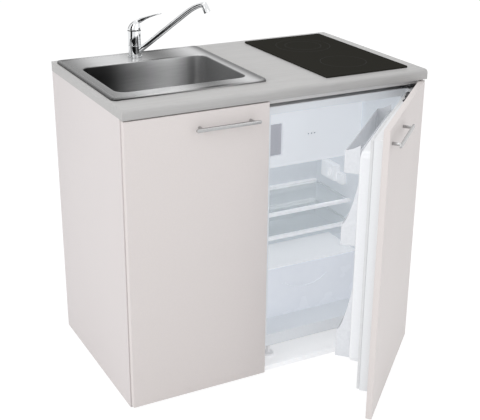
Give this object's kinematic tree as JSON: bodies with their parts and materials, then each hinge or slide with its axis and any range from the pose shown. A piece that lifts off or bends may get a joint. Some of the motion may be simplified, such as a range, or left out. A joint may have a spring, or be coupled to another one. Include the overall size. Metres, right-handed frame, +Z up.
{
  "type": "kitchenette unit with sink and hob",
  "caption": "Compact kitchen unit: steel sink with mixer tap and a black glass hob in a laminate worktop, cupboard on the left, refrigerator behind the open right door",
  "frame": {"origin": "on the floor, under the middle of the worktop", "axes": "+X to the right seen from the front, +Y to the back, +Z up"},
  "size_m": [1, 0.984, 1.1241],
  "materials": {
    "laminate_top": "light grey streaked laminate, satin",
    "carcass_board": "pale grey melamine board",
    "door_front": "warm off-white smooth door front",
    "zinc_steel": "zinc plated sheet steel",
    "handle_steel": "satin steel",
    "sink_steel": "brushed stainless steel",
    "tap_chrome": "bright chrome",
    "drain_plastic": "white plumbing plastic",
    "brass_nut": "plain brass",
    "copper_pipe": "drawn copper tube",
    "cartridge": "ceramic disc cartridge housing",
    "hob_black": "near black glass ceramic",
    "rubber_seal": "black foam seal",
    "heater_ceramic": "pressed ceramic fibre",
    "black_plastic": "black plastic",
    "fridge_skin": "white lacquered sheet",
    "fridge_inner": "white vacuum formed liner",
    "insulation": "rigid foam",
    "gasket": "light grey magnetic gasket",
    "frosted": "frosted grey plastic",
    "hinge_dark": "dark grey hinge steel",
    "shelf_pane": "clear shelf glass",
    "trim_white": "white trim",
    "compressor_black": "black lacquered steel"
  },
  "bodies": {
    "root": {"worktop": "laminate_top", "left_side_panel": "carcass_board", "right_side_panel": "carcass_board", "partition_panel": "carcass_board", "base_board": "carcass_board", "back_panel": "carcass_board", "top_rails": "carcass_board", "corner_brackets": "zinc_steel", "bracket_screws": "zinc_steel", "hinge_arms": "zinc_steel", "sink_bowl": "sink_steel", "sink_clips": "zinc_steel", "drain_flange": "sink_steel", "drain_body": "drain_plastic", "trap_body": "drain_plastic", "trap_cup": "drain_plastic", "overflow_pipe": "drain_plastic", "tap_body": "tap_chrome", "tap_cartridge": "cartridge", "tap_nut": "brass_nut", "tap_supply_pipes": "copper_pipe", "hob_glass": "hob_black", "hob_seal": "rubber_seal", "hob_casing": "zinc_steel", "hob_heaters": "heater_ceramic", "hob_clamps": "zinc_steel", "hob_terminal_box": "black_plastic", "fridge_case": "fridge_skin", "fridge_foam": "insulation", "fridge_liner": "fridge_inner", "freezer_box": "fridge_inner", "shelf_glass": "shelf_pane", "shelf_trims": "trim_white", "crisper_cover": "fridge_inner", "thermostat_housing": "trim_white", "compressor": "compressor_black", "condenser": "compressor_black", "fridge_supports": "hinge_dark"},
    "left_door": {"left_door_panel": "door_front", "left_door_handle": "handle_steel", "left_hinge_cups": "zinc_steel"},
    "right_door": {"right_door_panel": "door_front", "right_door_handle": "handle_steel", "right_hinge_cups": "zinc_steel", "fridge_door_shell": "fridge_skin", "fridge_door_foam": "insulation", "fridge_door_liner": "fridge_inner", "fridge_door_gasket": "gasket", "upper_door_bin": "frosted", "middle_door_bin": "frosted", "bottle_rack": "frosted", "fridge_door_hinges": "hinge_dark"},
    "strainer": {"strainer_basket": "sink_steel"},
    "spout": {"tap_spout": "tap_chrome", "tap_aerator": "tap_chrome"},
    "mixer_head": {"tap_head": "tap_chrome"},
    "mixer_lever": {"tap_lever": "tap_chrome"},
    "flap": {"freezer_flap": "fridge_inner"},
    "crisper": {"crisper_drawer": "frosted"},
    "knob": {"thermostat_knob": "trim_white"}
  },
  "joints": [
    {"name": "left_door_hinge", "type": "hinge", "parent": "root", "child": "left_door", "pos_m": [-0.494, -0.298, 0.45], "axis": [0, 0, -1], "range_deg": [0, 100]},
    {"name": "right_door_hinge", "type": "hinge", "parent": "root", "child": "right_door", "pos_m": [0.494, -0.298, 0.45], "axis": [0, 0, 1], "range_deg": [-43.3, 50]},
    {"name": "strainer_lift", "type": "slide", "parent": "root", "child": "strainer", "axis": [0, 0, 1], "range_m": [0, 0.06]},
    {"name": "spout_swivel", "type": "hinge", "parent": "root", "child": "spout", "pos_m": [-0.2485, 0.228, 0.95], "axis": [0, 0, 1], "range_deg": [-120, 30]},
    {"name": "mixer_turn", "type": "hinge", "parent": "root", "child": "mixer_head", "pos_m": [-0.2485, 0.228, 1.03], "axis": [0, 0, 1], "range_deg": [-45, 45]},
    {"name": "mixer_lift", "type": "hinge", "parent": "mixer_head", "child": "mixer_lever", "pos_m": [-0.2485, 0.228, 1.042], "axis": [-0.7071, -0.7071, 0], "range_deg": [0, 25]},
    {"name": "freezer_flap_hinge", "type": "hinge", "parent": "root", "child": "flap", "pos_m": [0.435, -0.046, 0.71], "axis": [0, 0, 1], "range_deg": [0, 45]},
    {"name": "crisper_slide", "type": "slide", "parent": "root", "child": "crisper", "axis": [0, -1, 0], "range_m": [0, 0.08]},
    {"name": "thermostat_turn", "type": "hinge", "parent": "root", "child": "knob", "pos_m": [0.422, 0.1, 0.479], "axis": [-1, 0, 0], "range_deg": [-150, 120]}
  ]
}
